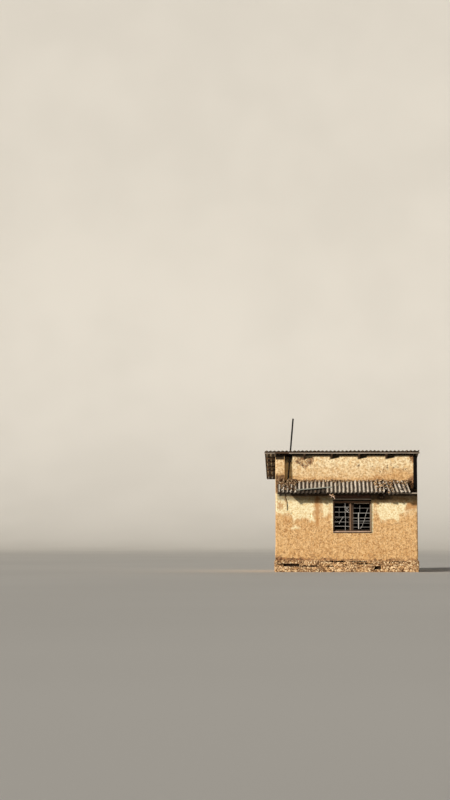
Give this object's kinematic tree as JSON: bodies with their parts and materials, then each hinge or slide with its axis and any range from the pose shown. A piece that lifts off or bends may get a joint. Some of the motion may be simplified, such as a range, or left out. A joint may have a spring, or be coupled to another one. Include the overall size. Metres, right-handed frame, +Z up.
{
  "type": "adobe house",
  "caption": "Small plastered adobe house with a shed roof of corrugated sheets, a barred timber window under a sheeted canopy, a plank back door and a service mast.",
  "frame": {"origin": "on the ground under the middle of the plan, on the underside of the floor", "axes": "+Z up; -Y is the front with the window and the canopy; +X to the right seen from the front"},
  "size_m": [5.8238, 5.37, 5.7825],
  "materials": {
    "plaster": "earth plaster with worn whitewash",
    "adobe": "bare eroded adobe",
    "earth": "beaten earth",
    "sheet": "weathered fibre cement",
    "timber": "dry old timber",
    "dark_timber": "blackened timber",
    "grey_timber": "sun-bleached timber",
    "window_timber": "weathered bare timber",
    "steel": "dark weathered steel"
  },
  "bodies": {
    "root": {"back_wall_above_door": "plaster", "back_wall_left": "plaster", "back_wall_right": "plaster", "base_back_left": "adobe", "base_back_right": "adobe", "base_front": "adobe", "base_left": "adobe", "base_right": "adobe", "canopy_askew_sheet": "sheet", "canopy_battens": "grey_timber", "canopy_broken_sheet": "sheet", "canopy_joists": "timber", "canopy_sheets": "sheet", "corner_post": "dark_timber", "door_frame": "timber", "door_leaf": "timber", "door_lintel": "timber", "door_threshold": "earth", "fascia_board": "grey_timber", "floor_slab": "earth", "front_wall_band": "plaster", "front_wall_below_window": "plaster", "front_wall_left": "plaster", "front_wall_right": "plaster", "left_wall": "plaster", "mast_clamps": "steel", "right_wall": "plaster", "roof_purlins": "timber", "roof_rafters": "timber", "roof_sheets_1": "sheet", "roof_sheets_2": "sheet", "roof_sheets_3": "sheet", "service_mast": "steel", "upper_wall_backing": "plaster", "upper_wall_panel": "plaster", "upper_wall_pier": "plaster", "window_frame": "window_timber", "window_lintel": "timber", "window_sash_left": "window_timber", "window_sash_right": "window_timber", "window_sill": "grey_timber"}
  },
  "joints": []
}
